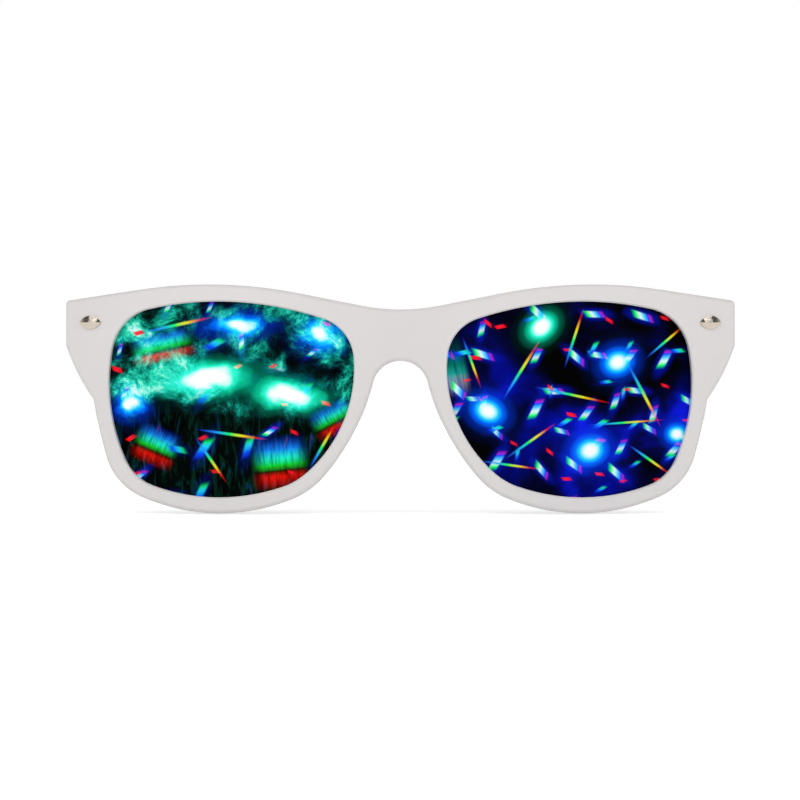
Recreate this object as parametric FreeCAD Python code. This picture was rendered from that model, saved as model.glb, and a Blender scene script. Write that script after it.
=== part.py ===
# Diffraction glasses: a white moulded frame of the classic horn-rimmed shape, whose lenses are
# clear sheets that carry a printed grating film. Millimetres, +Z up.
# The front faces -Y and stands on its two rims, with the arms open behind it. The origin is on
# the surface that the glasses stand on, below the middle of their bounding box.
# Left and right are the wearer's, so the left side is at +X.
import FreeCAD, Part
import os
from math import asin, atan2, cos, hypot, pi, radians, sin, sqrt, tan

# Front: overall form
base_curve_radius = 180.0        # the front is bent round an upright cylinder of this radius
rim_depth = 4.2                  # front face to back face
bridge_width = 20.8              # between the two lenses, seen from the front
bridge_height = 10.95            # top edge to nose arch, on the centre line
brow_width = 3.65                # highest point of the lens to highest point of the brow
brow_peak_shift = 4.74           # highest point of the brow, outboard of the lens centre
brow_radius = 102.6
brow_inner_slope = 0.2           # fall of the top edge towards the bridge, mm per mm
brow_outer_slope = 0.14          # fall of the top edge towards the end piece
bridge_dip_radius = 43.0

# Lens outline, seen square to the lens: a corner is (inset from the side of the lens's box,
# inset from its top or bottom, radius), and each side bows out between two corners
lens_width = 54.3
lens_height = 42.0
top_outer_corner = (11.5, 12.35, 11.0)
top_inner_corner = (9.5, 12.7, 9.4)
bottom_inner_corner = (19.8, 16.0, 14.4)
bottom_outer_corner = (13.4, 12.65, 10.7)
top_bow = 2.21
inner_bow = 2.12
bottom_bow = 1.84
outer_bow = 1.4

# Rim width round the lens, seen from the front: at the corners, then midway along three sides
rim_at_top_outer = 4.07
rim_at_top_inner = 5.16
rim_at_bottom_inner = 3.26
rim_at_bottom_outer = 3.06
rim_inner_side = 3.14
rim_bottom_side = 3.4
rim_outer_side = 2.6

# End pieces, which carry the hinges
end_piece_reach = 6.127          # outer edge, outboard of the rim below it
end_piece_height = 9.65
end_piece_edge_depth = 4.9       # front to back, at its outer edge
end_piece_corner_radius = 1.0
end_piece_underside_bow = 0.5
end_piece_block_inset = 10.1     # inner side of the thick block, from the outer edge
kink_radius = 0.4                # inner corner where the end piece meets the rim

# Edges of the front
front_edge_radius = 0.8
back_edge_bevel = 0.5
opening_bevel = 0.3              # both edges of the lens opening
block_edge_radius = 0.5

# Nose pads, moulded on the back of the rims
pad_middle = (10.4, 20.3)        # across and up
pad_cross_radius = 3.2           # roundness across the pad
pad_long_radius = 14.5           # and along it
pad_standoff = 3.9               # how far it stands behind the rim
pad_lean = 21.0                  # its top leans towards the bridge, degrees

# Lens and film
groove_depth = 1.0               # lens edge, hidden in the rim
lens_thickness = 1.0
film_thickness = 0.15
glue_line = 0.02
groove_clearance = 0.05
lens_setback = 1.5               # front face of the rim to front face of the film
film_margin = 0.3                # film edge, inside the lens edge

# Decorative stud
stud_length = 5.0
stud_height = 2.9
stud_wall = 0.3
stud_crown = 0.95                # ridge above the front face, at the middle
stud_from_edge = 5.5             # stud centre, inboard of the outer edge
stud_below_top = 5.5             # stud centre, below the top edge there
prong_radius = 0.5
prong_length = 2.4
prong_spread = 2.4
prong_clearance = 0.02

# Hinge
knuckle_count = 5
knuckle_length = 1.5
knuckle_gap = 0.05
knuckle_radius = 1.6
leaf_thickness = 1.0
leaf_offset = 0.8                # hinge axis to the near face of each leaf
leaf_clearance = 0.02            # leaf in its recess
leaf_corner_radius = 0.8
front_leaf_reach = 4.6           # hinge axis to the leaf's far edge
temple_leaf_reach = 9.6
temple_leaf_height = 5.2
notch_clearance = 0.25           # round the knuckles
screw_radius = 0.7
screw_clearance = 0.04
screw_head_radius = 1.15
screw_head_height = 0.7
screw_slot_width = 0.35
screw_slot_depth = 0.35
screw_slot_turn = 35.0
rivet_radius = 0.55
rivet_depth = 2.0                # shank beyond the leaf
rivet_clearance = 0.02
front_rivet_offset = 3.2         # from the hinge axis
front_rivet_spacing = 4.6        # one above the other
temple_rivet_offset = 4.4
temple_rivet_spacing = 3.4       # one behind the other

# Arms
arm_straight_run = 97.0          # hinge end to the bend, along the arm
arm_hook_run = 45.0              # bend to the centre of the round tip
arm_bend_angle = 35.0
arm_bend_radius = 30.0
arm_start_height = 9.1
arm_bend_height = 6.6
arm_tip_height = 7.8
arm_thickness = 4.2
arm_tip_thickness = 3.0
arm_flat_run = 40.0              # where its outer face is flat
arm_toe_in = 8.0                 # outer face at the tip, inboard of the flat face
arm_step = 0.2                   # outer face, inboard of the end piece
arm_gap = 0.1                    # butt joint, open
arm_outer_edge_radius = 0.9
arm_inner_edge_bevel = 0.5
arm_end_bevel = 0.3

# Places that follow from the sizes above
lens_tilt = asin((bridge_width + lens_width) / 2 / base_curve_radius)
lens_centre_x = bridge_width / 2 + lens_width / 2 * cos(lens_tilt)
brow_peak_x = lens_centre_x + brow_peak_shift


def setback(x):
    """How far the front face lies behind its foremost point, at a distance x from the centre."""
    return base_curve_radius - sqrt(base_curve_radius**2 - x**2)


def side_circle(first, second, bow):
    """Circle (x, z, radius) that bows out round two corner circles (x, z, radius)."""
    length = hypot(second[0] - first[0], second[1] - first[1])
    radius = (first[2] + second[2]) / 2 + (length**2 / 4 + bow**2) / (2 * bow)
    to_first = radius - first[2]
    to_second = radius - second[2]
    along = (to_first**2 - to_second**2 + length**2) / (2 * length)
    aside = sqrt(to_first**2 - along**2)
    ux = (second[0] - first[0]) / length
    uz = (second[1] - first[1]) / length
    return first[0] + ux * along - uz * aside, first[1] + uz * along + ux * aside, radius


def contact(side, corner, offset=0.0):
    """Point where a side circle touches a corner circle inside it, both grown by the offset."""
    angle = atan2(corner[1] - side[1], corner[0] - side[0])
    radius = corner[2] + offset
    return corner[0] + radius * cos(angle), corner[1] + radius * sin(angle)


def arc(circle, start, end, offset=0.0):
    """Shorter arc of a circle (x, z, radius), as its start, middle and end."""
    mx = (start[0] + end[0]) / 2 - circle[0]
    mz = (start[1] + end[1]) / 2 - circle[1]
    scale = (circle[2] + offset) / hypot(mx, mz)
    return start, (circle[0] + mx * scale, circle[1] + mz * scale), end


def ring(corners, bows, offset=0.0):
    """Eight tangent arcs of an outline with four corners and four bowed sides."""
    sides = [side_circle(corners[i], corners[(i + 1) % 4], bows[i]) for i in range(4)]
    arcs = []
    for i in range(4):
        start = contact(sides[i - 1], corners[i], offset)
        end = contact(sides[i], corners[i], offset)
        far = contact(sides[i], corners[(i + 1) % 4], offset)
        arcs.append(arc(corners[i], start, end, offset))
        arcs.append(arc(sides[i], end, far, offset))
    return arcs


def lens_corners():
    """Corner circles of the lens, measured from the middle of its box."""
    right = lens_width / 2
    top = lens_height / 2
    insets = [top_outer_corner, top_inner_corner, bottom_inner_corner, bottom_outer_corner]
    signs = [(1, 1), (-1, 1), (-1, -1), (1, -1)]
    corners = []
    for (across, up, radius), (sx, sz) in zip(insets, signs):
        corners.append((sx * (right - across), sz * (top - up), radius))
    return corners


def rim_corners(centre_z):
    """Corner circles of the rim's outer edge, seen from the front."""
    widths = [rim_at_top_outer, rim_at_top_inner, rim_at_bottom_inner, rim_at_bottom_outer]
    corners = []
    for (across, up, radius), width in zip(lens_corners(), widths):
        x = lens_centre_x + across * cos(lens_tilt)
        corners.append((x, centre_z + up, radius + width))
    return corners


lens_bows = [top_bow, inner_bow, bottom_bow, outer_bow]
rim_bows = [top_bow,
            inner_bow + rim_inner_side - (rim_at_top_inner + rim_at_bottom_inner) / 2,
            bottom_bow + rim_bottom_side - (rim_at_bottom_inner + rim_at_bottom_outer) / 2,
            outer_bow + rim_outer_side - (rim_at_bottom_outer + rim_at_top_outer) / 2]

# The rims stand on the ground, which sets the height of the lens
low_corners = rim_corners(0.0)
low_side = side_circle(low_corners[2], low_corners[3], rim_bows[2])
lens_centre_z = low_side[2] - low_side[1]
rim_ring = rim_corners(lens_centre_z)
inner_side = side_circle(rim_ring[1], rim_ring[2], rim_bows[1])
bottom_side = side_circle(rim_ring[2], rim_ring[3], rim_bows[2])
outer_side = side_circle(rim_ring[3], rim_ring[0], rim_bows[3])

# Top edge: a dip at the bridge, a straight rise, the brow and a straight fall
brow_top = lens_centre_z + lens_height / 2 + brow_width
inner_angle = atan2(brow_inner_slope, 1)
outer_angle = atan2(brow_outer_slope, 1)
dip_end_x = bridge_dip_radius * sin(inner_angle)
brow_start = (brow_peak_x - brow_radius * sin(inner_angle),
              brow_top - brow_radius * (1 - cos(inner_angle)))
brow_end = (brow_peak_x + brow_radius * sin(outer_angle),
            brow_top - brow_radius * (1 - cos(outer_angle)))
dip_end_z = brow_start[1] - (brow_start[0] - dip_end_x) * brow_inner_slope
bridge_top = dip_end_z - bridge_dip_radius * (1 - cos(inner_angle))

# End piece: it starts where the rim is level with the middle of the lens
kink_x = outer_side[0] + sqrt(outer_side[2]**2 - (lens_centre_z - outer_side[1])**2)
half_width = kink_x + end_piece_reach
end_piece_top = brow_end[1] - (half_width - brow_end[0]) * brow_outer_slope
end_piece_bottom = end_piece_top - end_piece_height
end_piece_middle = (end_piece_top + end_piece_bottom) / 2
end_piece_back = setback(half_width) + end_piece_edge_depth

# Nose arch, which touches the inner side of each rim
arch_top = bridge_top - bridge_height
arch_rise = arch_top - inner_side[1]
arch_radius = ((inner_side[0]**2 + arch_rise**2 - inner_side[2]**2)
               / (2 * (inner_side[2] + arch_rise)))
arch = (0.0, arch_top - arch_radius, arch_radius)

# Hinge axis, upright, and the flat faces that its leaves lie on
axis_y = end_piece_back + leaf_offset + leaf_thickness
arm_outer_x = half_width - arm_step
axis_x = arm_outer_x - arm_thickness - leaf_offset
hinge_height = knuckle_count * knuckle_length + (knuckle_count - 1) * knuckle_gap
hinge_bottom = end_piece_middle - hinge_height / 2

# Arm: it falls just enough for its round tip to reach the ground
arm_start_y = end_piece_back + arm_gap
bend = radians(arm_bend_angle)
tip_radius = arm_tip_height / 2
fall_along = arm_straight_run + arm_hook_run * cos(bend)
fall_across = arm_hook_run * sin(bend)
arm_slope = (asin((end_piece_middle - tip_radius) / hypot(fall_along, fall_across))
             - atan2(fall_across, fall_along))
bend_point = (arm_start_y + arm_straight_run * cos(arm_slope),
              end_piece_middle - arm_straight_run * sin(arm_slope))
tip_centre = (bend_point[0] + arm_hook_run * cos(arm_slope + bend),
              bend_point[1] - arm_hook_run * sin(arm_slope + bend))
overall_depth = tip_centre[0] + tip_radius
front_y = -overall_depth / 2

# Plan of the arm: its sides leave the flat run and drift inboard to a line behind the tip
arm_inner_x = arm_outer_x - arm_thickness
arm_flat_end = arm_start_y + arm_flat_run
arm_back = overall_depth + tip_radius
outer_drift = arm_toe_in
inner_drift = arm_toe_in - (arm_thickness - arm_tip_thickness)

# Layers of the lens, as radii about the axis of the base curve
film_front = base_curve_radius - lens_setback
film_back = film_front - film_thickness
lens_front = film_back - glue_line
lens_back = lens_front - lens_thickness

reach = 60.0                     # longer than any cutter has to be
margin = 5.0
touch = 0.01                     # points this close count as one
sample_shares = (0.02, 0.5, 0.98)


def vec(x, y, z):
    return FreeCAD.Vector(x, y, z)


def on_front(point):
    """Point of a front view (x, z), on the plane y = 0."""
    return vec(point[0], 0, point[1])


def on_lens(point):
    """Point of a view square to the lens, on the plane that touches the front at the lens."""
    return vec(lens_centre_x + point[0] * cos(lens_tilt),
               setback(lens_centre_x) + point[0] * sin(lens_tilt),
               lens_centre_z + point[1])


def on_side(point):
    """Point of a side view (y, z), on the plane x = 0."""
    return vec(0, point[0], point[1])


def on_plan(point):
    """Point of a plan view (x, y), on the plane z = 0."""
    return vec(point[0], point[1], 0)


def face_of(pieces, place):
    """Face inside a closed chain of lines (start, end) and arcs (start, middle, end)."""
    edges = []
    for piece in pieces:
        points = [place(point) for point in piece]
        if len(points) == 2:
            edges.append(Part.makeLine(points[0], points[1]))
        else:
            edges.append(Part.Arc(points[0], points[1], points[2]).toShape())
    return Part.Face(Part.Wire(edges))


def upright_cylinder(radius):
    """Cylinder of the base curve's axis, which runs past the top and bottom of the front."""
    base = vec(0, base_curve_radius, -margin)
    return Part.makeCylinder(radius, brow_top + 2 * margin, base, vec(0, 0, 1))


def shell(outer_radius, inner_radius):
    return upright_cylinder(outer_radius).cut(upright_cylinder(inner_radius))


def lens_prism(offset):
    """Prism of the lens outline, grown by the offset, square to the lens."""
    face = face_of(ring(lens_corners(), lens_bows, offset), on_lens)
    back = vec(-sin(lens_tilt), cos(lens_tilt), 0)
    face.translate(back * -reach)
    return face.extrude(back * (2 * reach))


def edges_where(shape, test):
    """Edges of which the ends and the middle all pass the test."""
    found = []
    for edge in shape.Edges:
        first, last = edge.ParameterRange
        points = [edge.valueAt(first + (last - first) * share) for share in sample_shares]
        if all(test(point) for point in points):
            found.append(edge)
    return found


def at_radius(point, radius):
    return abs(hypot(point.x, point.y - base_curve_radius) - radius) < touch


def off_centre(point):
    return point.x > touch


def front_outline():
    """Outline of the left half of the front, seen from the front."""
    corner = end_piece_corner_radius
    turn = pi / 2 - outer_angle
    back_off = corner * tan(turn / 2)
    corner_start = (half_width - back_off * cos(outer_angle),
                    end_piece_top + back_off * sin(outer_angle))
    corner_circle = (half_width - corner, end_piece_top - back_off, corner)
    corner_end = (half_width, end_piece_top - back_off)
    under_start = (half_width, end_piece_bottom)
    kink = (kink_x, lens_centre_z)
    chord = hypot(under_start[0] - kink[0], under_start[1] - kink[1])
    under_middle = ((under_start[0] + kink[0]) / 2
                    + (under_start[1] - kink[1]) / chord * end_piece_underside_bow,
                    (under_start[1] + kink[1]) / 2
                    - (under_start[0] - kink[0]) / chord * end_piece_underside_bow)
    outer_low = contact(outer_side, rim_ring[3])
    bottom_outer = contact(bottom_side, rim_ring[3])
    bottom_inner = contact(bottom_side, rim_ring[2])
    inner_low = contact(inner_side, rim_ring[2])
    to_arch = inner_side[2] / (inner_side[2] + arch_radius)
    arch_start = (inner_side[0] * (1 - to_arch),
                  inner_side[1] + (arch[1] - inner_side[1]) * to_arch)
    dip = (0.0, bridge_top + bridge_dip_radius, bridge_dip_radius)
    brow = (brow_peak_x, brow_top - brow_radius, brow_radius)
    return [arc(dip, (0.0, bridge_top), (dip_end_x, dip_end_z)),
            ((dip_end_x, dip_end_z), brow_start),
            arc(brow, brow_start, brow_end),
            (brow_end, corner_start),
            arc(corner_circle, corner_start, corner_end),
            (corner_end, under_start),
            (under_start, under_middle, kink),
            arc(outer_side, kink, outer_low),
            arc(rim_ring[3], outer_low, bottom_outer),
            arc(bottom_side, bottom_outer, bottom_inner),
            arc(rim_ring[2], bottom_inner, inner_low),
            arc(inner_side, inner_low, arch_start),
            arc(arch, arch_start, (0.0, arch_top)),
            ((0.0, arch_top), (0.0, bridge_top))]


def outline_prism():
    face = face_of(front_outline(), on_front)
    face.translate(vec(0, -margin, 0))
    return face.extrude(vec(0, reach, 0))


def rounded_band():
    """Curved slab of the front's outline, with its edges rounded and the lens opening cut."""
    prism = outline_prism()

    def at_kink(point):
        return hypot(point.x - kink_x, point.z - lens_centre_z) < touch

    prism = prism.makeFillet(kink_radius, edges_where(prism, at_kink))
    back_radius = base_curve_radius - rim_depth
    band = prism.common(shell(base_curve_radius, back_radius))
    front_edges = edges_where(band, lambda p: at_radius(p, base_curve_radius) and off_centre(p))
    band = band.makeFillet(front_edge_radius, front_edges)
    back_edges = edges_where(band, lambda p: at_radius(p, back_radius) and off_centre(p))
    band = band.makeChamfer(back_edge_bevel, back_edges)
    opening = lens_prism(0.0)
    band = band.cut(opening)

    def of_opening(point):
        on_face = at_radius(point, base_curve_radius) or at_radius(point, back_radius)
        return on_face and opening.isInside(point, touch, True)

    return band.makeChamfer(opening_bevel, edges_where(band, of_opening))


def end_block():
    """Thick part of the end piece, whose flat back carries the hinge and stops the arm."""
    inner_x = half_width - end_piece_block_inset
    size = vec(end_piece_block_inset + margin, end_piece_back + margin, reach)
    block = Part.makeBox(size.x, size.y, size.z, vec(inner_x, -margin, end_piece_bottom))
    block = block.common(outline_prism())
    block = block.common(upright_cylinder(base_curve_radius - rim_depth / 2))
    edges = edges_where(block, lambda p: abs(p.y - end_piece_back) < touch)
    return block.makeFillet(block_edge_radius, edges)


def nose_pad():
    """Moulded pad: the back of a ring, round both ways, that grows out of the rim's inner side."""
    axis = vec(1, 0, 0)
    y = setback(pad_middle[0]) + rim_depth + pad_standoff - pad_long_radius
    pad = Part.makeTorus(pad_long_radius - pad_cross_radius, pad_cross_radius, vec(0, 0, 0), axis)
    pad.translate(vec(pad_middle[0], y, pad_middle[1]))
    pad.rotate(vec(pad_middle[0], y, pad_middle[1]), vec(0, 1, 0), -pad_lean)
    behind = vec(-reach, setback(pad_middle[0]) + rim_depth / 2, -reach)
    pad = pad.common(Part.makeBox(2 * reach, reach, 2 * reach, behind))
    pad = pad.common(upright_cylinder(base_curve_radius - rim_depth / 2)).common(outline_prism())
    over_lens = shell(base_curve_radius, base_curve_radius - rim_depth).common(lens_prism(0.0))
    return pad.cut(over_lens)


def front_frame():
    """One side of the moulding, mirrored and joined on the centre line."""
    half = rounded_band().fuse([end_block(), nose_pad()]).removeSplitter()
    half = half.cut(Part.makeBox(reach * 2, reach, reach * 2, vec(0, end_piece_back, -margin)))
    edge = groove_depth + groove_clearance
    groove = shell(film_front + groove_clearance, lens_back - groove_clearance)
    half = half.cut(lens_prism(edge).common(groove))
    half = half.cut(Part.makeCompound([prongs(prong_clearance), front_rivets(rivet_clearance)]))
    other = half.mirror(vec(0, 0, 0), vec(1, 0, 0))
    return half.fuse(other).removeSplitter()


def lens():
    """Clear sheet, cut to the lens outline and bent to the base curve."""
    return lens_prism(groove_depth).common(shell(lens_front, lens_back))


def grating_film():
    """Thin film with the grating, stuck on the front of the clear sheet."""
    return lens_prism(groove_depth - film_margin).common(shell(film_front, film_back))


def seat_stud(shape):
    """Move a shape from the stud's own frame, which faces -Y, to its seat on the end piece."""
    x = half_width - stud_from_edge
    angle = asin(x / base_curve_radius)
    z = end_piece_top + stud_from_edge * brow_outer_slope - stud_below_top
    shape = shape.rotated(vec(0, 0, 0), vec(0, 0, 1), angle * 180 / pi)
    return shape.translated(vec(x, setback(x), z))


def prongs(clearance=0.0):
    """Two prongs that hold the stud in blind holes."""
    made = []
    for side in (-1, 1):
        foot = vec(side * prong_spread / 2, -stud_wall / 2, 0)
        length = prong_length + stud_wall / 2 + clearance
        made.append(Part.makeCylinder(prong_radius + clearance, length, foot, vec(0, 1, 0)))
    return seat_stud(Part.makeCompound(made))


def stud():
    """Almond with a ridge along its middle, which rises from its two points to the crown."""
    tip = stud_length / 2
    belly = stud_height / 2
    left, right = vec(-tip, -stud_wall, 0), vec(tip, -stud_wall, 0)
    upper = Part.Arc(left, vec(0, -stud_wall, belly), right).toShape()
    lower = Part.Arc(left, vec(0, -stud_wall, -belly), right).toShape()
    ridge = Part.Arc(left, vec(0, -stud_crown, 0), right).toShape()
    outline = Part.Face(Part.Wire([upper, lower]))
    faces = [Part.makeRuledSurface(upper, ridge), Part.makeRuledSurface(lower, ridge), outline]
    hull = Part.Shell(faces)
    hull.sewShape()
    crown = Part.makeSolid(hull)
    if crown.Volume < 0:
        crown.reverse()
    wall = outline.extrude(vec(0, stud_wall * 2, 0))
    body = seat_stud(wall.fuse(crown)).cut(upright_cylinder(base_curve_radius))
    return body.fuse(prongs().Solids).removeSplitter()


def knuckle(index):
    """Barrel of the hinge, counted from the lowest, in the frame of the hinge axis."""
    base = index * (knuckle_length + knuckle_gap)
    return Part.makeCylinder(knuckle_radius, knuckle_length, vec(0, 0, base))


def plate_corners(plate, far_x, bottom, top):
    """Rounds the two corners of a plate at its far edge."""
    def at_corner(point):
        level = min(abs(point.z - bottom), abs(point.z - top))
        return abs(point.x - far_x) < touch and level < touch

    return plate.makeFillet(leaf_corner_radius, edges_where(plate, at_corner))


def leaf(indices, far, height, rivets):
    """Hinge leaf that reaches along -X, with barrels round the axis and holes for its rivets."""
    near = knuckle_radius + notch_clearance
    front = -leaf_offset - leaf_thickness
    bottom = (hinge_height - height) / 2
    plate = Part.makeBox(far - near, leaf_thickness, height, vec(-far, front, bottom))
    plate = plate_corners(plate, -far, bottom, bottom + height)
    tabs = []
    for index in indices:
        base = index * (knuckle_length + knuckle_gap)
        tabs.append(Part.makeBox(near, leaf_thickness, knuckle_length, vec(-near, front, base)))
        tabs.append(knuckle(index))
    bore = Part.makeCylinder(screw_radius + screw_clearance, hinge_height, vec(0, 0, 0))
    head = Part.makeCylinder(screw_head_radius + screw_clearance, screw_head_height + margin,
                             vec(0, 0, hinge_height - screw_head_height))
    return plate.fuse(tabs).removeSplitter().cut([bore, head] + rivets)


def temple_recess():
    """Room for the temple leaf, in the frame of the hinge axis."""
    far = temple_leaf_reach + leaf_clearance
    height = temple_leaf_height + 2 * leaf_clearance
    bottom = (hinge_height - height) / 2
    depth = leaf_offset + leaf_thickness + leaf_clearance
    room = Part.makeBox(far, depth, height, vec(-far, -depth, bottom))
    return plate_corners(room, -far, bottom, bottom + height)


def rivet(place, clearance=0.0):
    """Rivet set flush in the near face of a leaf, which it enters along -Y."""
    length = leaf_thickness + rivet_depth + clearance
    return Part.makeCylinder(rivet_radius + clearance, length, place, vec(0, -1, 0))


def front_rivet_set(clearance=0.0):
    made = []
    for side in (-1, 1):
        z = hinge_height / 2 + side * front_rivet_spacing / 2
        made.append(rivet(vec(-front_rivet_offset, -leaf_offset, z), clearance))
    return made


def temple_rivet_set(clearance=0.0):
    made = []
    for count in (0, 1):
        x = -temple_rivet_offset - count * temple_rivet_spacing
        made.append(rivet(vec(x, -leaf_offset, hinge_height / 2), clearance))
    return made


def seat_front(shape):
    """Move a shape from the frame of the hinge axis to the back of the end piece."""
    return shape.translated(vec(axis_x, axis_y, hinge_bottom))


def seat_temple(shape):
    """Turn a shape over, so that its leaf reaches back along the arm, and move it there."""
    turned = shape.mirror(vec(0, 0, 0), vec(0, 1, 0)).rotated(vec(0, 0, 0), vec(0, 0, 1), -90)
    return turned.translated(vec(axis_x, axis_y, hinge_bottom))


def front_rivets(clearance=0.0):
    return seat_front(Part.makeCompound(front_rivet_set(clearance)))


def temple_rivets(clearance=0.0):
    return seat_temple(Part.makeCompound(temple_rivet_set(clearance)))


front_knuckles = range(0, knuckle_count, 2)
temple_knuckles = range(1, knuckle_count, 2)


def front_hinge_leaf():
    holes = front_rivet_set(rivet_clearance)
    return seat_front(leaf(front_knuckles, front_leaf_reach, hinge_height, holes))


def temple_hinge_leaf():
    holes = temple_rivet_set(rivet_clearance)
    return seat_temple(leaf(temple_knuckles, temple_leaf_reach, temple_leaf_height, holes))


def hinge_screw():
    """Slotted screw down through all the barrels, with its head sunk in the top one."""
    shank = Part.makeCylinder(screw_radius, hinge_height - screw_head_height / 2)
    head = Part.makeCylinder(screw_head_radius, screw_head_height,
                             vec(0, 0, hinge_height - screw_head_height))
    slot = Part.makeBox(4 * screw_head_radius, screw_slot_width, 2 * screw_slot_depth,
                        vec(-2 * screw_head_radius, -screw_slot_width / 2,
                            hinge_height - screw_slot_depth))
    slot.rotate(vec(0, 0, 0), vec(0, 0, 1), screw_slot_turn)
    return seat_front(shank.fuse(head).removeSplitter().cut(slot))


def tangent_point(outside, circle, side):
    """Point where a line from a point (y, z) touches a circle, on its upper (1) or lower side."""
    dy = circle[0] - outside[0]
    dz = circle[1] - outside[1]
    distance = hypot(dy, dz)
    angle = atan2(dz, dy) + side * asin(circle[2] / distance)
    length = sqrt(distance**2 - circle[2]**2)
    return outside[0] + length * cos(angle), outside[1] + length * sin(angle)


def rounded_corner(before, corner, after, radius):
    """Tangent arc (start, middle, end) that rounds the corner between two lines."""
    first = FreeCAD.Vector(before[0] - corner[0], before[1] - corner[1], 0).normalize()
    second = FreeCAD.Vector(after[0] - corner[0], after[1] - corner[1], 0).normalize()
    half = first.getAngle(second) / 2
    along = radius / tan(half)
    start = (corner[0] + first.x * along, corner[1] + first.y * along)
    end = (corner[0] + second.x * along, corner[1] + second.y * along)
    inward = (first + second).normalize()
    to_middle = radius / sin(half) - radius
    return start, (corner[0] + inward.x * to_middle, corner[1] + inward.y * to_middle), end


def arm_side_view():
    """Arm seen from the side: it narrows to the bend and widens again to its round tip."""
    half_start = arm_start_height / 2
    half_bend = arm_bend_height / 2 / cos(bend / 2)
    normal = arm_slope + bend / 2
    upper_start = (arm_start_y, end_piece_middle + half_start)
    lower_start = (arm_start_y, end_piece_middle - half_start)
    upper_bend = (bend_point[0] + half_bend * sin(normal), bend_point[1] + half_bend * cos(normal))
    lower_bend = (bend_point[0] - half_bend * sin(normal), bend_point[1] - half_bend * cos(normal))
    tip = (tip_centre[0], tip_centre[1], tip_radius)
    upper_tip = tangent_point(upper_bend, tip, 1)
    lower_tip = tangent_point(lower_bend, tip, -1)
    end = (tip[0] + tip_radius * cos(arm_slope + bend), tip[1] - tip_radius * sin(arm_slope + bend))
    upper = rounded_corner(upper_start, upper_bend, upper_tip, arm_bend_radius + half_bend)
    lower = rounded_corner(lower_start, lower_bend, lower_tip, arm_bend_radius - half_bend)
    return [(upper_start, upper[0]), upper, (upper[2], upper_tip), (upper_tip, end, lower_tip),
            (lower_tip, lower[2]), lower[::-1], (lower[0], lower_start), (lower_start, upper_start)]


def side_x(start_x, drift, y):
    """Where a side of the arm runs at y: straight at first, then on an arc that drifts inboard."""
    run = arm_back - arm_flat_end
    radius = (run**2 + drift**2) / (2 * drift)
    along = max(y - arm_flat_end, 0.0)
    return start_x - radius + sqrt(radius**2 - along**2)


def side_arc(start_x, drift):
    """That arc, as its start, middle and end."""
    middle_y = (arm_flat_end + arm_back) / 2
    middle = (side_x(start_x, drift, middle_y), middle_y)
    return (start_x, arm_flat_end), middle, (start_x - drift, arm_back)


def arm_plan():
    """Arm seen from above: flat sides at the hinge, then a gentle curve inboard."""
    outer = side_arc(arm_outer_x, outer_drift)
    inner = side_arc(arm_inner_x, inner_drift)
    return [((arm_outer_x, arm_start_y), outer[0]), outer, (outer[2], inner[2]), inner[::-1],
            (inner[0], (arm_inner_x, arm_start_y)),
            ((arm_inner_x, arm_start_y), (arm_outer_x, arm_start_y))]


def temple_arm():
    """Arm with rounded outer edges and bevelled inner ones, cut out for the hinge."""
    profile = face_of(arm_side_view(), on_side)
    plan = face_of(arm_plan(), on_plan)
    arm = profile.extrude(vec(reach * 2, 0, 0)).common(plan.extrude(vec(0, 0, brow_top)))

    def on_outer_side(point):
        return abs(point.x - side_x(arm_outer_x, outer_drift, point.y)) < touch

    def on_inner_side(point):
        return abs(point.x - side_x(arm_inner_x, inner_drift, point.y)) < touch

    def at_butt(point):
        return abs(point.y - arm_start_y) < touch

    outer_edges = edges_where(arm, lambda p: on_outer_side(p) and not at_butt(p))
    arm = arm.makeFillet(arm_outer_edge_radius, outer_edges)
    inner_edges = edges_where(arm, lambda p: on_inner_side(p) and not at_butt(p))
    arm = arm.makeChamfer(arm_inner_edge_bevel, inner_edges)
    arm = arm.makeChamfer(arm_end_bevel, edges_where(arm, at_butt))
    notch_x = axis_x + knuckle_radius + notch_clearance
    notch_y = axis_y + knuckle_radius + notch_clearance
    notch = Part.makeBox(margin, notch_y, reach, vec(notch_x - margin, 0, 0))
    return arm.cut([notch, seat_temple(temple_recess())] + temple_rivets(rivet_clearance).Solids)


def save(name, shape):
    """Write a node, with the middle of the whole depth at y = 0."""
    placed = shape.translated(vec(0, front_y, 0))
    placed.exportStep("parts/" + name + ".step")
    box = placed.BoundBox
    print(name, "solids", len(placed.Solids), "valid", placed.isValid(),
          "volume", round(placed.Volume, 2),
          "x", round(box.XMin, 2), round(box.XMax, 2),
          "y", round(box.YMin, 2), round(box.YMax, 2),
          "z", round(box.ZMin, 2), round(box.ZMax, 2))


os.makedirs("parts", exist_ok=True)
save("front_frame", front_frame())
pieces = {"lens": lens(),
          "grating_film": grating_film(),
          "front_stud": stud(),
          "front_hinge_leaf": front_hinge_leaf(),
          "front_leaf_rivets": front_rivets(),
          "temple_hinge_leaf": temple_hinge_leaf(),
          "temple_leaf_rivets": temple_rivets(),
          "hinge_screw": hinge_screw(),
          "temple_arm": temple_arm()}
for name, shape in pieces.items():
    save("left_" + name, shape)
    save("right_" + name, shape.mirror(vec(0, 0, 0), vec(1, 0, 0)))
print("hinge axis x", round(axis_x, 3), "y", round(axis_y + front_y, 3),
      "depth", round(overall_depth, 3), "width", round(2 * half_width, 3),
      "top", round(brow_top, 3))
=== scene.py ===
import math

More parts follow.
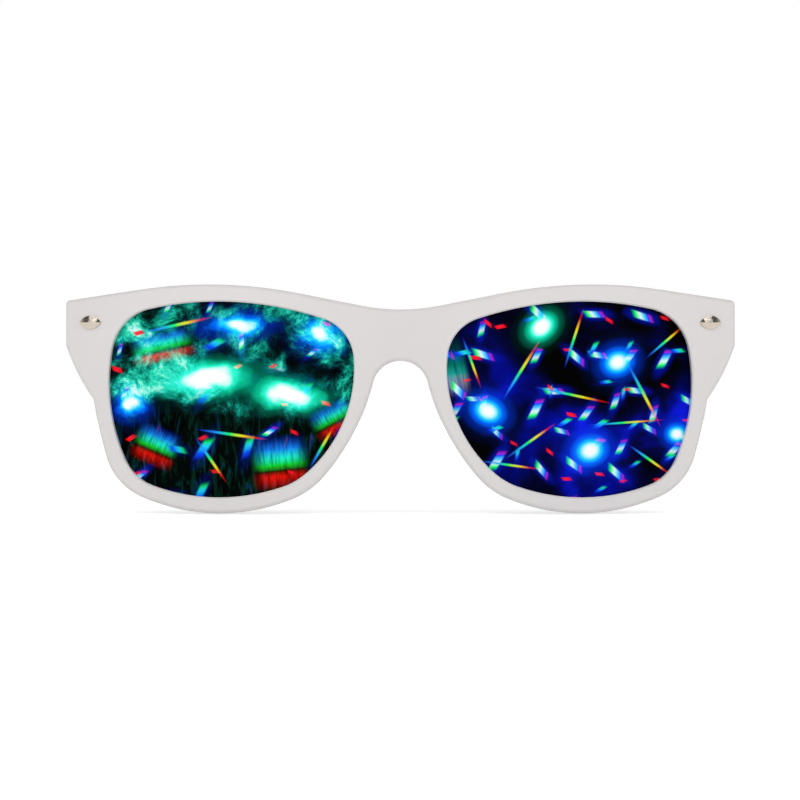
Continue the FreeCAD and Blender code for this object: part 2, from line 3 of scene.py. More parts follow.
import bpy
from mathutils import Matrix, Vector


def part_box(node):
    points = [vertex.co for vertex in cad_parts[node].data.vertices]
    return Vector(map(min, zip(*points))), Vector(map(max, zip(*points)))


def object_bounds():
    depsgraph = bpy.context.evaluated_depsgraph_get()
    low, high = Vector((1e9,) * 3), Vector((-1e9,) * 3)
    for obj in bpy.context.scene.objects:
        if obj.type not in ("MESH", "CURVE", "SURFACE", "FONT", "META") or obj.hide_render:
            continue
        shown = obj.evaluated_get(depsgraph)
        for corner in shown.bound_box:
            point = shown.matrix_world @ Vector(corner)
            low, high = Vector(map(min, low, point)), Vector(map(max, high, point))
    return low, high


# White plastic party glasses with grating film on the lenses, on a white studio floor.
# Metres throughout, in the frame of the CAD part. The wearer looks along -Y.

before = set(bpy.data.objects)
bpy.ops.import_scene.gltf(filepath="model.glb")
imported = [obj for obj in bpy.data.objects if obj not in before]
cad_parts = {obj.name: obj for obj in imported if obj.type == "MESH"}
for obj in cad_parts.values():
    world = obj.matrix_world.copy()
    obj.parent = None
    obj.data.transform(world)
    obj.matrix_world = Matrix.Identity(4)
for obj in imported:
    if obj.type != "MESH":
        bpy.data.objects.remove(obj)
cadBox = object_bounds()
print("frame loaded:", len(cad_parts), "nodes")


def linear(hexColour):
    # sRGB hex to the linear colour that the shaders want
    parts = [int(hexColour[i:i + 2], 16) / 255 for i in (1, 3, 5)]
    return [p / 12.92 if p <= 0.04045 else ((p + 0.055) / 1.055) ** 2.4 for p in parts] + [1.0]


def put(tree, kind, settings=None, values=None):
    # one node, with its settings, and its inputs as values or links. Inputs whose names repeat
    # go by number: a Mix has its share at 0, its numbers at 2 and 3 and its colours at 6 and 7.
    node = tree.nodes.new("ShaderNode" + kind)
    for name, setting in (settings or {}).items():
        if name == "stops":
            ramp = node.color_ramp.elements
            while len(ramp) < len(setting):
                ramp.new(0.5)
            for stop, (place, hexColour) in zip(ramp, setting):
                stop.position = place
                stop.color = linear(hexColour)
        else:
            setattr(node, name, setting)
    for name, value in (values or {}).items():
        if isinstance(value, bpy.types.NodeSocket):
            tree.links.new(value, node.inputs[name])
        else:
            node.inputs[name].default_value = value
    return node


def material(name):
    # a new material and its tree, with only the output in it
    made = bpy.data.materials.new(name)
    made.use_nodes = True
    tree = made.node_tree
    tree.nodes.clear()
    output = tree.nodes.new("ShaderNodeOutputMaterial")
    return made, tree, output


def millimetres(tree):
    # object coordinates, which are the CAD frame's, in millimetres
    place = put(tree, "TexCoord").outputs["Object"]
    return put(tree, "VectorMath", {"operation": "SCALE"}, {0: place, "Scale": 1000.0}).outputs[0]


def dress(nodes, finish):
    # the CAD nodes keep their shape and get the finish in their material slots
    for name in nodes:
        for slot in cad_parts[name].material_slots:
            slot.material = finish


def both(name):
    # the left and the right node of a pair
    return ["left_" + name, "right_" + name]


# Moulded plastic

plastic = {
    "colour": "#d6d2d1",
    "shade": "#d5d1d0",         # the slightly greyer clouds in the white
    "cloudSize": 24.0,          # mm
    "cloudEdge": (0.35, 0.62),  # noise values that are all shade and all colour
    "ior": 1.585,
    "roughness": (0.262, 0.272),
    "handlingSize": 12.0,       # mm between the smooth and the rubbed places
    "handlingEdge": (0.35, 0.7),    # noise values of the smooth and the rubbed places
    "rippleSize": 2.6,          # mm, the faint orange peel of a moulded gloss
    "rippleDepth": 0.0012,      # mm
}


def mouldedPolycarbonate():
    # injection-moulded polycarbonate, white: a clean gloss with the faint waviness of the mould
    made, tree, output = material("moulded_white_polycarbonate")
    place = millimetres(tree)
    clouds = put(tree, "TexNoise", {}, {
        "Vector": place, "Scale": 1 / plastic["cloudSize"], "Detail": 1.0, "Roughness": 0.5})
    low, high = plastic["cloudEdge"]
    tint = put(tree, "ValToRGB", {"stops": [(low, plastic["shade"]), (high, plastic["colour"])]},
               {"Fac": clouds.outputs["Fac"]})
    handled = put(tree, "TexNoise", {}, {
        "Vector": place, "Scale": 1 / plastic["handlingSize"], "Detail": 1.0, "Roughness": 0.5})
    low, high = plastic["handlingEdge"]
    gloss = put(tree, "MapRange", {}, {
        "Value": handled.outputs["Fac"], "From Min": low, "From Max": high,
        "To Min": plastic["roughness"][0], "To Max": plastic["roughness"][1]})
    ripple = put(tree, "TexNoise", {}, {
        "Vector": place, "Scale": 1 / plastic["rippleSize"], "Detail": 1.0, "Roughness": 0.4})
    bump = put(tree, "Bump", {}, {
        "Strength": 1.0, "Distance": plastic["rippleDepth"] / 1000,
        "Height": ripple.outputs["Fac"]})
    shader = put(tree, "BsdfPrincipled", {}, {
        "Base Color": tint.outputs["Color"], "Roughness": gloss.outputs["Result"],
        "IOR": plastic["ior"], "Normal": bump.outputs["Normal"]})
    tree.links.new(shader.outputs[0], output.inputs["Surface"])
    return made


# Clear sheet behind the film

clearSheet = {
    "tint": "#f4f7f6",
    "roughness": 0.04,
    "ior": 1.585,
    "wavesPerMm": 0.12,
    "waveDepth": 0.004,         # mm
}


def clearPolycarbonate():
    # extruded polycarbonate sheet: clear and glossy, with the faintest waviness
    made, tree, output = material("clear_polycarbonate_sheet")
    place = millimetres(tree)
    wave = put(tree, "TexNoise", {}, {
        "Vector": place, "Scale": clearSheet["wavesPerMm"], "Detail": 1.0})
    bump = put(tree, "Bump", {}, {
        "Strength": 1.0, "Distance": clearSheet["waveDepth"] / 1000,
        "Height": wave.outputs["Fac"]})
    shader = put(tree, "BsdfPrincipled", {}, {
        "Base Color": linear(clearSheet["tint"]), "Roughness": clearSheet["roughness"],
        "IOR": clearSheet["ior"], "Transmission Weight": 1.0, "Normal": bump.outputs["Normal"]})
    tree.links.new(shader.outputs[0], output.inputs["Surface"])
    return made


# Grating film. Its colour is painted light: a made-up spread of light spots and their spectra,
# drawn into the base colour.

filmGloss = {
    "roughness": 0.30,
    "ior": 1.57,
    "shine": 0.008,             # nearly none: its grooves turn the light into spectra instead
}

dashLook = {
    "scatter": 0.72,            # how loosely the dashes lie in their grid, up to 1
    "shrink": (1.45, 0.95),     # what the smallest and the largest are divided by
    "dimmest": 0.72,            # strength of the smallest one
    "slant": 0.25,              # how far the ends lean over
    "halo": (2.3, 0.4),         # where it starts and is full, in half sizes of the dash
}
smearLook = {
    "streaks": (1.2, 9.0),      # per half length and per half width, so they run lengthwise
    "streakEdge": (0.25, 0.62), # noise values of the weak and the full streaks
    "weakest": 0.25,            # strength of the weak streaks
    "fullWithin": 0.35,         # share of the half size, beyond which it fades
}
lineCore = 0.6                  # how far in from its edge a line is full, up to 1 in the middle
stirSize = 6.25                 # mm, size of the bends that draw the glows out of round

# colours from one end of a shape to the other, or from the rim of a glow to its middle
blueGlow = [(0.0, "#000000"), (0.28, "#000624"), (0.52, "#002490"), (0.66, "#0068ff"),
            (0.76, "#18d0ff"), (0.85, "#c8ffff"), (0.90, "#ffffff")]
greenGlow = [(0.0, "#000000"), (0.26, "#00140e"), (0.46, "#005c46"), (0.60, "#08c090"),
             (0.70, "#30ffd8"), (0.78, "#d0fff8"), (0.84, "#ffffff")]
coolDash = [(0.04, "#00d030"), (0.22, "#20ff70"), (0.40, "#e0ffff"), (0.58, "#50d0ff"),
            (0.76, "#1038ff"), (0.94, "#ff20c0")]
blueDash = [(0.06, "#0a18c0"), (0.34, "#0a50ff"), (0.58, "#20d0ff"), (0.80, "#10e860"),
            (0.96, "#088020")]
redDash = [(0.1, "#ff0818"), (0.5, "#ff2030"), (0.9, "#d80428")]
lineHues = [(0.05, "#2020ff"), (0.30, "#20a0ff"), (0.48, "#20f060"), (0.64, "#f0e020"),
            (0.82, "#ff2010")]
smearHues = [(0.04, "#0c18d8"), (0.26, "#1888ff"), (0.42, "#20f0d0"), (0.54, "#18f038"),
             (0.64, "#281800"), (0.74, "#ff1408"), (0.96, "#ff1408")]

burstFilm = {
    "ground": [(0.40, "#000006"), (0.50, "#02053c"), (0.58, "#030a88"), (0.70, "#0a18d8")],
    "groundSize": 17.0,          # mm
    "groundGrain": (3.0, 0.5),   # detail and roughness of the noise
    "stir": 0.0,                 # mm, how far the glows are drawn out of round
    "patches": [(0.40, "#303040"), (0.54, "#ffffff")],
    "patchSize": 24.0,           # mm
    "fade": (-6.0, 10.0, 1.06, 0.84),   # from and to, mm above the middle, and the haze there
    "spots": [   # across, up, radius across, radius up, turn in degrees, colours
        (10.5, 8.0, 9.0, 7.5, 20, blueGlow),
        (-17.5, -2.5, 9.5, 7.5, -25, blueGlow),
        (4.5, -11.0, 9.5, 8.0, 15, blueGlow),
        (-6.0, 15.5, 8.0, 6.0, 40, greenGlow),
        (23.5, -7.5, 6.5, 5.5, 0, blueGlow),
    ],
    "smears": [  # across, up, half length, half width, turn, strength, colours
        (-25.5, 9.0, 9.0, 3.6, -80, 0.5, greenGlow),
    ],
    "lines": [   # across, up, half length, half width, turn in degrees
        (16.0, 1.5, 8.5, 0.42, -62),
        (-10.5, 6.0, 8.0, 0.40, 58),
        (-8.5, -9.0, 7.0, 0.36, 35),
        (17.5, -13.0, 6.0, 0.36, -35),
        (-21.0, 8.0, 6.0, 0.34, -70),
        (0.5, 1.0, 9.0, 0.34, -12),
        (21.0, 12.5, 6.0, 0.34, 40),
        (1.0, 13.0, 7.0, 0.36, 72),
        (-13.0, -14.0, 7.0, 0.32, -8),
        (12.0, -5.0, 9.0, 0.28, 4),
    ],
    "dashes": [  # cell, length, width, turn, spread, portion, edge, shift, colours, halo
        (9.2, 5.4, 2.0, 62, 40, 0.72, 0.45, (3.1, 7.7), coolDash, "#0414a0"),
        (8.6, 5.0, 1.7, -24, 50, 0.66, 0.45, (11.4, 2.3), coolDash, "#0414a0"),
        (7.7, 4.2, 1.2, 50, 110, 0.52, 0.5, (5.6, 14.2), blueDash, "#020a50"),
        (6.7, 2.4, 0.9, -10, 60, 0.42, 0.3, (17.3, 9.1), redDash, "#100002"),
    ],
}

hazeFilm = {
    "ground": [(0.40, "#000504"), (0.47, "#043630"), (0.53, "#0a8c78"), (0.60, "#30e8c4"),
               (0.68, "#d8fff8")],
    "groundSize": 9.0,
    "groundGrain": (8.0, 0.74),
    "stir": 9.0,
    "patches": [(0.38, "#0a1240"), (0.45, "#40608c"), (0.52, "#ffffff")],
    "patchSize": 19.0,
    "fade": (-8.0, 2.0, 0.62, 1.04),
    "spots": [
        (-5.0, 4.5, 19.0, 7.5, 6, greenGlow),
        (12.0, 1.0, 17.0, 7.0, -7, greenGlow),
        (19.0, 13.5, 10.0, 7.5, -20, blueGlow),
        (-22.0, -1.0, 8.0, 7.0, 0, blueGlow),
        (1.5, 16.0, 14.0, 6.0, 4, blueGlow),
    ],
    "smears": [
        (10.5, -13.5, 6.2, 6.6, -84, 1.0, smearHues),
        (-16.5, -10.0, 4.6, 5.4, -112, 0.9, smearHues),
        (-15.0, 11.5, 3.8, 7.5, -78, 0.85, smearHues),
        (22.0, -4.0, 3.8, 5.5, -62, 0.8, smearHues),
    ],
    "lines": [
        (-12.0, 16.0, 8.0, 0.45, 12),
        (0.0, -7.5, 8.0, 0.40, -8),
        (19.5, -10.0, 6.0, 0.40, 60),
        (-4.5, -13.0, 6.0, 0.40, -55),
    ],
    "dashes": [
        (11.0, 6.4, 2.2, 28, 100, 0.46, 0.6, (2.7, 12.5), blueDash, "#020a50"),
        (9.4, 4.2, 1.3, 62, 60, 0.36, 0.5, (8.8, 6.4), coolDash, "#0414a0"),
        (7.6, 2.5, 1.1, 5, 60, 0.38, 0.35, (13.9, 3.6), redDash, "#100002"),
    ],
    "threads": [(0.50, "#000000"), (0.64, "#032a1c"), (0.72, "#08286c"), (0.80, "#6a140e")],
    "threadSize": (1.1, 5.5),    # mm across and along
    "threadHeight": (-8.0, 2.0), # mm above the middle, where they are full and where they end
}


def addSpots(tree, place, colour, spots):
    # soft lamps: white in the middle, and the colours of their stops out to a dark rim
    for across, up, wide, high, turn, stops in spots:
        local = put(tree, "Mapping", {"vector_type": "TEXTURE"}, {
            "Vector": place, "Location": (across, up, 0), "Rotation": (0, 0, math.radians(turn)),
            "Scale": (wide, high, 1)})
        fall = put(tree, "TexGradient", {"gradient_type": "SPHERICAL"},
                   {"Vector": local.outputs[0]})
        glow = put(tree, "ValToRGB", {"stops": stops}, {"Fac": fall.outputs["Fac"]})
        colour = put(tree, "Mix", {"data_type": "RGBA", "blend_type": "SCREEN"}, {
            0: 1.0, 6: colour, 7: glow.outputs["Color"]}).outputs[2]
    return colour


def addSmears(tree, place, colour, smears):
    # broad soft spectra, streaked along their length
    for across, up, length, width, turn, strength, stops in smears:
        local = put(tree, "Mapping", {"vector_type": "TEXTURE"}, {
            "Vector": place, "Location": (across, up, 0), "Rotation": (0, 0, math.radians(turn)),
            "Scale": (length, width, 1)})
        sides = put(tree, "SeparateXYZ", {}, {0: local.outputs[0]})
        streaks = put(tree, "TexNoise", {"noise_dimensions": "2D"}, {
            "Vector": put(tree, "VectorMath", {"operation": "MULTIPLY"}, {
                0: local.outputs[0], 1: (*smearLook["streaks"], 0)}).outputs[0],
            "Scale": 1.0, "Detail": 3.0, "Roughness": 0.6})
        low, high = smearLook["streakEdge"]
        mask = put(tree, "MapRange", {}, {
            "Value": streaks.outputs["Fac"], "From Min": low, "From Max": high,
            "To Min": smearLook["weakest"] * strength, "To Max": strength}).outputs[0]
        for side in ("X", "Y"):
            size = put(tree, "Math", {"operation": "ABSOLUTE"}, {0: sides.outputs[side]})
            edge = put(tree, "MapRange", {"interpolation_type": "SMOOTHSTEP"}, {
                "Value": size.outputs[0], "From Min": 1.0,
                "From Max": smearLook["fullWithin"]})
            mask = put(tree, "Math", {"operation": "MULTIPLY"}, {
                0: mask, 1: edge.outputs["Result"]}).outputs[0]
        share = put(tree, "MapRange", {}, {"Value": sides.outputs["X"], "From Min": -1.0})
        hue = put(tree, "ValToRGB", {"stops": stops}, {"Fac": share.outputs["Result"]})
        colour = put(tree, "Mix", {"data_type": "RGBA"}, {
            0: mask, 6: colour, 7: hue.outputs["Color"]}).outputs[2]
    return colour


def addLines(tree, place, colour, lines):
    # long thin spectra, brightest in the middle
    for across, up, length, width, turn in lines:
        local = put(tree, "Mapping", {"vector_type": "TEXTURE"}, {
            "Vector": place, "Location": (across, up, 0), "Rotation": (0, 0, math.radians(turn)),
            "Scale": (length, width, 1)})
        fall = put(tree, "TexGradient", {"gradient_type": "SPHERICAL"},
                   {"Vector": local.outputs[0]})
        along = put(tree, "SeparateXYZ", {}, {0: local.outputs[0]})
        share = put(tree, "MapRange", {}, {"Value": along.outputs["X"], "From Min": -1.0})
        hue = put(tree, "ValToRGB", {"stops": lineHues}, {"Fac": share.outputs["Result"]})
        mask = put(tree, "MapRange", {}, {"Value": fall.outputs["Fac"], "From Max": lineCore})
        colour = put(tree, "Mix", {"data_type": "RGBA"}, {
            0: mask.outputs["Result"], 6: colour, 7: hue.outputs["Color"]}).outputs[2]
    return colour


def addDashes(tree, place, colour, dashes):
    # short spectra, one in each cell of a loose grid, turned and dropped at random
    for cell, length, width, turn, spread, portion, soft, shift, stops, halo in dashes:
        grid = put(tree, "VectorMath", {"operation": "MULTIPLY_ADD"}, {
            0: place, 1: (1 / cell, 1 / cell, 0), 2: (*shift, 0)})
        cells = put(tree, "TexVoronoi", {"voronoi_dimensions": "2D"}, {
            "Vector": grid.outputs[0], "Scale": 1.0, "Randomness": dashLook["scatter"]})
        chance = put(tree, "SeparateColor", {}, {0: cells.outputs["Color"]})
        apart = put(tree, "VectorMath", {"operation": "SUBTRACT"}, {
            0: grid.outputs[0], 1: cells.outputs["Position"]})
        angle = put(tree, "MapRange", {}, {
            "Value": chance.outputs["Red"], "To Min": math.radians(-turn - spread / 2),
            "To Max": math.radians(-turn + spread / 2)})
        turned = put(tree, "VectorRotate", {"rotation_type": "Z_AXIS"}, {
            "Vector": apart.outputs[0], "Angle": angle.outputs["Result"]})
        smaller = put(tree, "MapRange", {}, {
            "Value": chance.outputs["Blue"], "To Min": dashLook["shrink"][0],
            "To Max": dashLook["shrink"][1]})
        unit = put(tree, "VectorMath", {"operation": "MULTIPLY"}, {
            0: turned.outputs[0], 1: (2 * cell / length, 2 * cell / width, 1)})
        unit = put(tree, "VectorMath", {"operation": "SCALE"}, {
            0: unit.outputs[0], "Scale": smaller.outputs["Result"]})
        kept = put(tree, "Math", {"operation": "GREATER_THAN"}, {
            0: chance.outputs["Green"], 1: 1 - portion}).outputs[0]
        distance = put(tree, "VectorMath", {"operation": "LENGTH"}, {0: unit.outputs[0]})
        near = put(tree, "MapRange", {"interpolation_type": "SMOOTHSTEP"}, {
            "Value": distance.outputs["Value"], "From Min": dashLook["halo"][0],
            "From Max": dashLook["halo"][1]})
        glow = put(tree, "Math", {"operation": "MULTIPLY"}, {
            0: near.outputs["Result"], 1: kept})
        colour = put(tree, "Mix", {"data_type": "RGBA", "blend_type": "SCREEN"}, {
            0: glow.outputs[0], 6: colour, 7: linear(halo)}).outputs[2]
        sides = put(tree, "SeparateXYZ", {}, {0: unit.outputs[0]})
        slanted = put(tree, "Math", {"operation": "MULTIPLY_ADD"}, {
            0: sides.outputs["Y"], 1: dashLook["slant"], 2: sides.outputs["X"]})
        mask = kept
        for side in (slanted.outputs[0], sides.outputs["Y"]):
            size = put(tree, "Math", {"operation": "ABSOLUTE"}, {0: side})
            edge = put(tree, "MapRange", {"interpolation_type": "SMOOTHSTEP"}, {
                "Value": size.outputs[0], "From Min": 1.0, "From Max": 1 - soft})
            mask = put(tree, "Math", {"operation": "MULTIPLY"}, {
                0: mask, 1: edge.outputs["Result"]}).outputs[0]
        bright = put(tree, "MapRange", {}, {
            "Value": chance.outputs["Blue"], "To Min": dashLook["dimmest"], "To Max": 1.0})
        mask = put(tree, "Math", {"operation": "MULTIPLY"}, {
            0: mask, 1: bright.outputs["Result"]}).outputs[0]
        share = put(tree, "MapRange", {}, {"Value": slanted.outputs[0], "From Min": -1.0})
        hue = put(tree, "ValToRGB", {"stops": stops}, {"Fac": share.outputs["Result"]})
        colour = put(tree, "Mix", {"data_type": "RGBA"}, {
            0: mask, 6: colour, 7: hue.outputs["Color"]}).outputs[2]
    return colour


def filmPlace(tree, node):
    # millimetres across and up, from the middle of the film
    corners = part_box(node)
    middle = (corners[0] + corners[1]) / 2 * 1000
    parts = put(tree, "SeparateXYZ", {}, {0: millimetres(tree)})
    flat = put(tree, "CombineXYZ", {}, {"X": parts.outputs["X"], "Y": parts.outputs["Z"]})
    return put(tree, "VectorMath", {"operation": "SUBTRACT"}, {
        0: flat.outputs[0], 1: (middle.x, middle.z, 0)}).outputs[0]


def filmGround(tree, place, height, layout):
    # the painted haze of light behind the shapes, darker in patches and towards one side
    haze = put(tree, "TexNoise", {}, {
        "Vector": place, "Scale": 1 / layout["groundSize"],
        "Detail": layout["groundGrain"][0], "Roughness": layout["groundGrain"][1],
        "Distortion": 0.4})
    low, high, lowShare, highShare = layout["fade"]
    fade = put(tree, "MapRange", {"interpolation_type": "SMOOTHSTEP"}, {
        "Value": height, "From Min": low, "From Max": high,
        "To Min": lowShare, "To Max": highShare})
    value = put(tree, "Math", {"operation": "MULTIPLY"}, {
        0: haze.outputs["Fac"], 1: fade.outputs["Result"]})
    ground = put(tree, "ValToRGB", {"stops": layout["ground"]}, {"Fac": value.outputs[0]})
    clouds = put(tree, "TexNoise", {}, {
        "Vector": place, "Scale": 1 / layout["patchSize"], "Detail": 3.0, "Roughness": 0.6})
    patches = put(tree, "ValToRGB", {"stops": layout["patches"]}, {"Fac": clouds.outputs["Fac"]})
    return put(tree, "Mix", {"data_type": "RGBA", "blend_type": "MULTIPLY"}, {
        0: 1.0, 6: ground.outputs["Color"], 7: patches.outputs["Color"]}).outputs[2]


def addThreads(tree, place, height, colour, layout):
    # fine upright threads of colour in the dark half
    across, along = layout["threadSize"]
    stretched = put(tree, "VectorMath", {"operation": "MULTIPLY"}, {
        0: place, 1: (1 / across, 1 / along, 0)})
    threads = put(tree, "TexNoise", {"noise_dimensions": "2D"}, {
        "Vector": stretched.outputs[0], "Scale": 1.0, "Detail": 3.0, "Roughness": 0.6,
        "Distortion": 0.6})
    strand = put(tree, "ValToRGB", {"stops": layout["threads"]}, {"Fac": threads.outputs["Fac"]})
    share = put(tree, "MapRange", {"interpolation_type": "SMOOTHSTEP"}, {
        "Value": height, "From Min": layout["threadHeight"][1],
        "From Max": layout["threadHeight"][0]})
    return put(tree, "Mix", {"data_type": "RGBA", "blend_type": "SCREEN"}, {
        0: share.outputs["Result"], 6: colour, 7: strand.outputs["Color"]}).outputs[2]


def stirredPlace(tree, place, stir):
    # the same place pushed about by up to half of stir, in mm
    wander = put(tree, "TexNoise", {}, {"Vector": place, "Scale": 1 / stirSize, "Detail": 4.0})
    off = put(tree, "VectorMath", {"operation": "SUBTRACT"}, {
        0: wander.outputs["Color"], 1: (0.5, 0.5, 0.5)})
    return put(tree, "VectorMath", {"operation": "MULTIPLY_ADD"}, {
        0: off.outputs[0], 1: (stir, stir / 2, 0), 2: place}).outputs[0]


def gratingFilm(name, node, layout):
    # laminated PET grating film: deep colour, hardly any shine of its own. Its grooves are
    # 0.002 mm apart, too fine to draw, so the spectra of light that they spread are painted into
    # its base colour instead, as painted light.
    made, tree, output = material(name)
    place = filmPlace(tree, node)
    height = put(tree, "SeparateXYZ", {}, {0: place}).outputs["Y"]
    colour = filmGround(tree, place, height, layout)
    if "threads" in layout:
        colour = addThreads(tree, place, height, colour, layout)
    colour = addSmears(tree, place, colour, layout["smears"])
    colour = addDashes(tree, place, colour, layout["dashes"])
    colour = addLines(tree, place, colour, layout["lines"])
    colour = addSpots(tree, stirredPlace(tree, place, layout["stir"]), colour, layout["spots"])
    shader = put(tree, "BsdfPrincipled", {}, {
        "Base Color": colour, "Roughness": filmGloss["roughness"], "IOR": filmGloss["ior"],
        "Specular IOR Level": filmGloss["shine"]})
    tree.links.new(shader.outputs[0], output.inputs["Surface"])
    return made


# Metals

scratchLook = {
    "stretch": (1.0, 1.0, 6.0),     # scratches are this much finer upwards, so they lie level
    "edge": (0.3, 0.7),             # noise values of the smooth and the rough places
    "depth": 0.004,                 # mm
}
polishedNickelSilver = {            # warm, with sharp reflections
    "name": "polished_nickel_silver",
    "colour": "#c6bbae",
    "roughness": (0.10, 0.17),
    "grain": 1.2,                   # mm, coarser than real scratches, which are too fine to show
}
stampedNickelSilver = {             # duller, from the stamping tool
    "name": "stamped_nickel_silver",
    "colour": "#b9b4ac",
    "roughness": (0.24, 0.38),
    "grain": 0.5,
}
headedNickelSilver = {              # rivets, a little brighter than the leaves
    "name": "headed_nickel_silver",
    "colour": "#c2bdb4",
    "roughness": (0.20, 0.34),
    "grain": 0.4,
}
zincPlatedSteel = {                 # cooler and greyer than the leaves
    "name": "zinc_plated_steel",
    "colour": "#a9adb0",
    "roughness": (0.22, 0.36),
    "grain": 0.3,
}


def metal(kind):
    # rubbed metal: reflections broken by fine scratches
    made, tree, output = material(kind["name"])
    stretched = put(tree, "VectorMath", {"operation": "MULTIPLY"}, {
        0: millimetres(tree), 1: scratchLook["stretch"]})
    scratches = put(tree, "TexNoise", {}, {
        "Vector": stretched.outputs[0], "Scale": 1 / kind["grain"], "Detail": 5.0,
        "Roughness": 0.65})
    low, high = scratchLook["edge"]
    gloss = put(tree, "MapRange", {}, {
        "Value": scratches.outputs["Fac"], "From Min": low, "From Max": high,
        "To Min": kind["roughness"][0], "To Max": kind["roughness"][1]})
    bump = put(tree, "Bump", {}, {
        "Strength": 1.0, "Distance": scratchLook["depth"] / 1000,
        "Height": scratches.outputs["Fac"]})
    shader = put(tree, "BsdfPrincipled", {}, {
        "Base Color": linear(kind["colour"]), "Metallic": 1.0,
        "Roughness": gloss.outputs["Result"], "Normal": bump.outputs["Normal"]})
    tree.links.new(shader.outputs[0], output.inputs["Surface"])
    return made


dress(["front_frame"] + both("temple_arm"), mouldedPolycarbonate())
dress(both("lens"), clearPolycarbonate())
dress(["left_grating_film"], gratingFilm("grating_film_bursts", "left_grating_film", burstFilm))
dress(["right_grating_film"], gratingFilm("grating_film_haze", "right_grating_film", hazeFilm))
dress(both("front_stud"), metal(polishedNickelSilver))
dress(both("front_hinge_leaf") + both("temple_hinge_leaf"), metal(stampedNickelSilver))
dress(both("front_leaf_rivets") + both("temple_leaf_rivets"), metal(headedNickelSilver))
dress(both("hinge_screw"), metal(zincPlatedSteel))
print("materials given")


# Studio

studio = {
    "worldLight": 0.585,
    "upperRoom": 0.12,      # how bright the room overhead looks in a reflection
    "upperStart": (0.30, 0.62),     # sine of the height where it starts and is reached
    "floorColour": "#fafafa",
    "floorLift": 0.38,      # makes the floor white to the eye, less where the shadow falls
    "farLift": 0.75,        # the same beyond the reach of the lamps
    "farStart": (0.35, 1.1),    # m from the middle
    "floorHalf": 2.5,       # m
    "floorDrop": 0.0002,    # m below the lowest point of the glasses
    "lamps": [              # name, place, size, watts
        ("key", (-0.70, -1.25, 0.30), (1.1, 1.1), 4.45),
        ("fill", (0.75, -1.22, 0.26), (1.2, 1.2), 4.35),
        ("top", (0.0, 0.25, 1.30), (0.9, 0.9), 0.9),
        ("right_glint", (-0.62, -0.72, 1.02), (0.80, 0.12), 1.7),   # seen in the studs
        ("left_glint", (0.62, -0.72, 1.02), (0.80, 0.12), 1.7),
    ],
}


def seenRays(tree):
    # 1 for what the camera, a mirror or glass shows, 0 for light that falls on things
    rays = put(tree, "LightPath")
    total = rays.outputs["Is Camera Ray"]
    for kind in ("Is Glossy Ray", "Is Transmission Ray"):
        total = put(tree, "Math", {"operation": "MAXIMUM"}, {
            0: total, 1: rays.outputs[kind]}).outputs[0]
    return rays, total


def studioWorld():
    # white to the camera, glass and mirrors, but a plain soft light on things
    world = bpy.data.worlds.new("studio")
    world.use_nodes = True
    tree = world.node_tree
    tree.nodes.clear()
    rays, seen = seenRays(tree)
    direction = put(tree, "SeparateXYZ", {}, {0: put(tree, "TexCoord").outputs["Generated"]})
    upper = put(tree, "MapRange", {"interpolation_type": "SMOOTHSTEP"}, {
        "Value": direction.outputs["Z"], "From Min": studio["upperStart"][0],
        "From Max": studio["upperStart"][1], "To Min": 1.0, "To Max": studio["upperRoom"]})
    mirrored = put(tree, "Mix", {"data_type": "FLOAT"}, {
        0: rays.outputs["Is Glossy Ray"], 2: 1.0, 3: upper.outputs["Result"]})
    strength = put(tree, "Mix", {"data_type": "FLOAT"}, {
        0: seen, 2: studio["worldLight"], 3: mirrored.outputs[0]})
    shader = put(tree, "Background", {}, {
        "Color": (1, 1, 1, 1), "Strength": strength.outputs[0]})
    output = tree.nodes.new("ShaderNodeOutputWorld")
    tree.links.new(shader.outputs[0], output.inputs["Surface"])
    bpy.context.scene.world = world


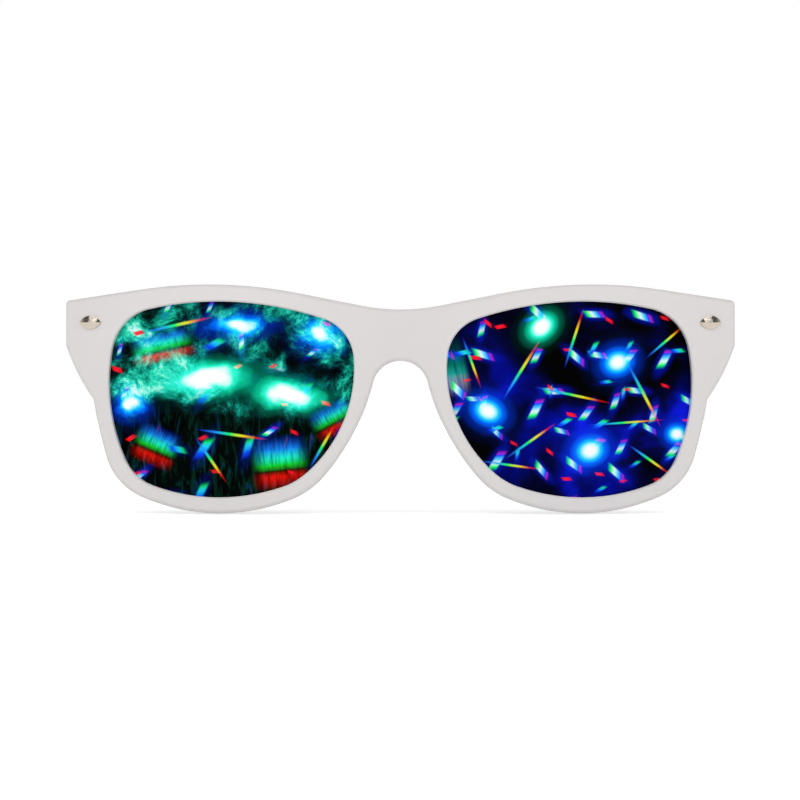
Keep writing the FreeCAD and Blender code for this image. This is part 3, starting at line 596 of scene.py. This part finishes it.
def studioFloor():
    # white paper that keeps the shadow and is otherwise white to the camera
    half = studio["floorHalf"]
    mesh = bpy.data.meshes.new("studio_floor")
    corners = [(-half, -half, 0), (half, -half, 0), (half, half, 0), (-half, half, 0)]
    mesh.from_pydata(corners, [], [(0, 1, 2, 3)])
    floor = bpy.data.objects.new("studio_floor", mesh)
    floor.location.z = cadBox[0].z - studio["floorDrop"]
    bpy.context.scene.collection.objects.link(floor)
    made, tree, output = material("white_paper_floor")
    _, seen = seenRays(tree)
    away = put(tree, "VectorMath", {"operation": "LENGTH"}, {
        0: put(tree, "TexCoord").outputs["Object"]})
    far = put(tree, "MapRange", {"interpolation_type": "SMOOTHSTEP"}, {
        "Value": away.outputs["Value"], "From Min": studio["farStart"][0],
        "From Max": studio["farStart"][1], "To Min": studio["floorLift"],
        "To Max": studio["farLift"]})
    lift = put(tree, "Math", {"operation": "MULTIPLY"}, {0: seen, 1: far.outputs["Result"]})
    shader = put(tree, "BsdfPrincipled", {}, {
        "Base Color": linear(studio["floorColour"]), "Roughness": 0.9,
        "Specular IOR Level": 0.0, "Emission Color": (1, 1, 1, 1),
        "Emission Strength": lift.outputs[0]})
    tree.links.new(shader.outputs[0], output.inputs["Surface"])
    mesh.materials.append(made)


def studioLamps():
    # every lamp looks at the middle of the glasses
    aim = (cadBox[0] + cadBox[1]) / 2
    for name, place, size, watts in studio["lamps"]:
        lamp = bpy.data.lights.new(name, "AREA")
        lamp.shape = "RECTANGLE"
        lamp.size, lamp.size_y = size
        lamp.energy = watts
        holder = bpy.data.objects.new(name, lamp)
        holder.location = place
        holder.rotation_euler = (aim - Vector(place)).to_track_quat("-Z", "Y").to_euler()
        bpy.context.scene.collection.objects.link(holder)


# A long lens at about half the height of the front, so that the arms hide behind it
camera = {
    "place": (0.0, cadBox[0].y - 0.900, 0.0270),
    "pitch": -0.172,        # degrees, down from level
    "lens": 190.0,          # mm, on a sensor 36 mm wide
    "shift": -0.0006,       # the glasses sit half a pixel right of the middle
}


def studioCamera():
    eye = bpy.data.cameras.new("camera")
    eye.sensor_width = 36.0
    eye.lens = camera["lens"]
    eye.shift_x = camera["shift"]
    eye.clip_start = 0.01
    eye.clip_end = 50.0
    holder = bpy.data.objects.new("camera", eye)
    holder.location = camera["place"]
    holder.rotation_euler = (math.radians(90 + camera["pitch"]), 0, 0)
    bpy.context.scene.collection.objects.link(holder)
    bpy.context.scene.camera = holder


studioWorld()
studioFloor()
studioLamps()
studioCamera()
bpy.context.scene.view_settings.view_transform = "Standard"
print("studio ready")
